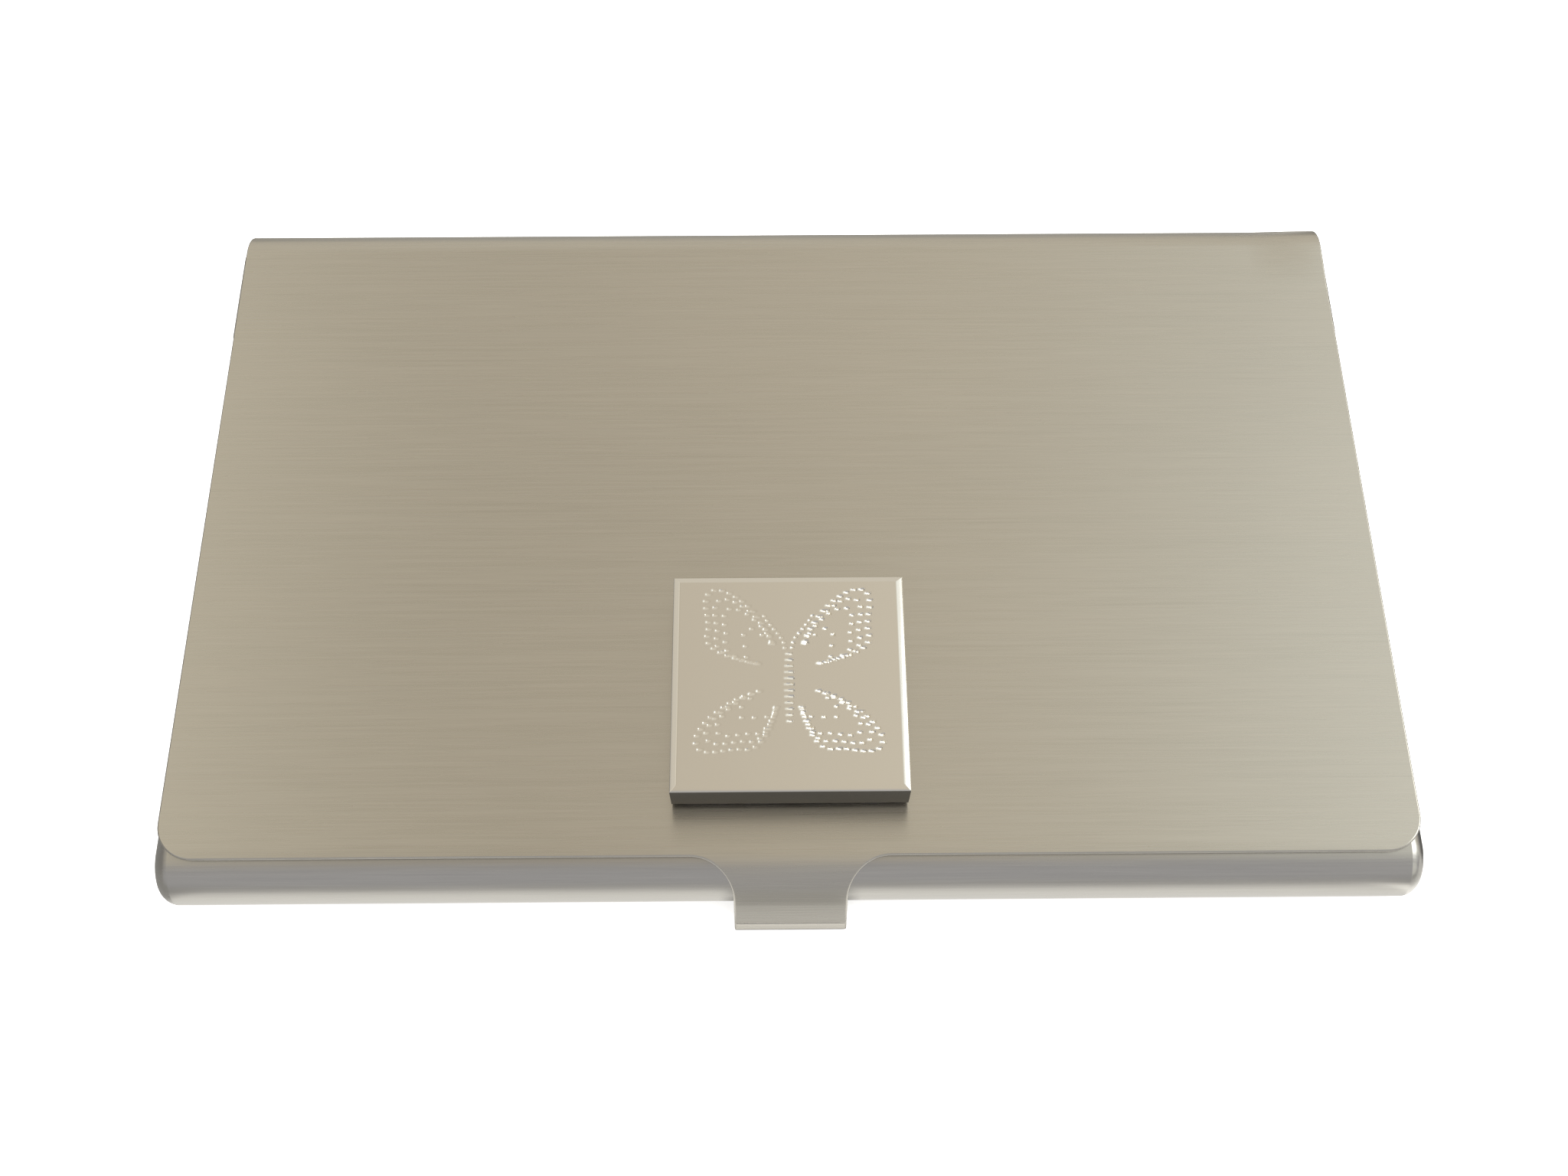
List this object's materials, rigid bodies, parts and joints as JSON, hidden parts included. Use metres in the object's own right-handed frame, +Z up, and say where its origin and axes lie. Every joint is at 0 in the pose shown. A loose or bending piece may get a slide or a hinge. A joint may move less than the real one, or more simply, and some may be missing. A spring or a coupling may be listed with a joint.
{
  "type": "business card case",
  "caption": "Slim rigid metal card case: tray with rolled front edge, hinged lid with latch tab, linked card lifter and a square decorative tile on the lid.",
  "frame": {"origin": "centre of the flat underside of the tray, with the case closed", "axes": "+X along the long side, +Y towards the hinge, +Z up through the lid; the latch tab is at -Y"},
  "size_m": [0.0952, 0.0615, 0.0102],
  "materials": {
    "tray_steel": "brushed along X, satin",
    "lid_steel": "brushed along X, satin",
    "lifter_steel": "cold-rolled, satin",
    "rivet_steel": "turned, smooth",
    "tile_metal": "polished, with a fine etched line drawing",
    "glue": "dark cured adhesive"
  },
  "bodies": {
    "tray": {"base_tray": "tray_steel", "hinge_rivet_left": "rivet_steel", "hinge_rivet_right": "rivet_steel"},
    "lid_body": {"lid": "lid_steel", "pendant_tile": "tile_metal", "adhesive_pad": "glue"},
    "lifter": {"card_lifter": "lifter_steel"}
  },
  "joints": [
    {"name": "lid_hinge", "type": "hinge", "parent": "tray", "child": "lid_body", "pos_m": [0, 0.0268, 0.0036], "axis": [-1, 0, 0], "range_deg": [0, 110]},
    {"name": "lifter_hinge", "type": "hinge", "parent": "tray", "child": "lifter", "pos_m": [0, 0.0268, 0.0036], "axis": [-1, 0, 0], "range_deg": [0, 18]}
  ],
  "couplings": [
    {"joint": "lifter_hinge", "follows": "lid_hinge", "ratio": 0.16}
  ]
}
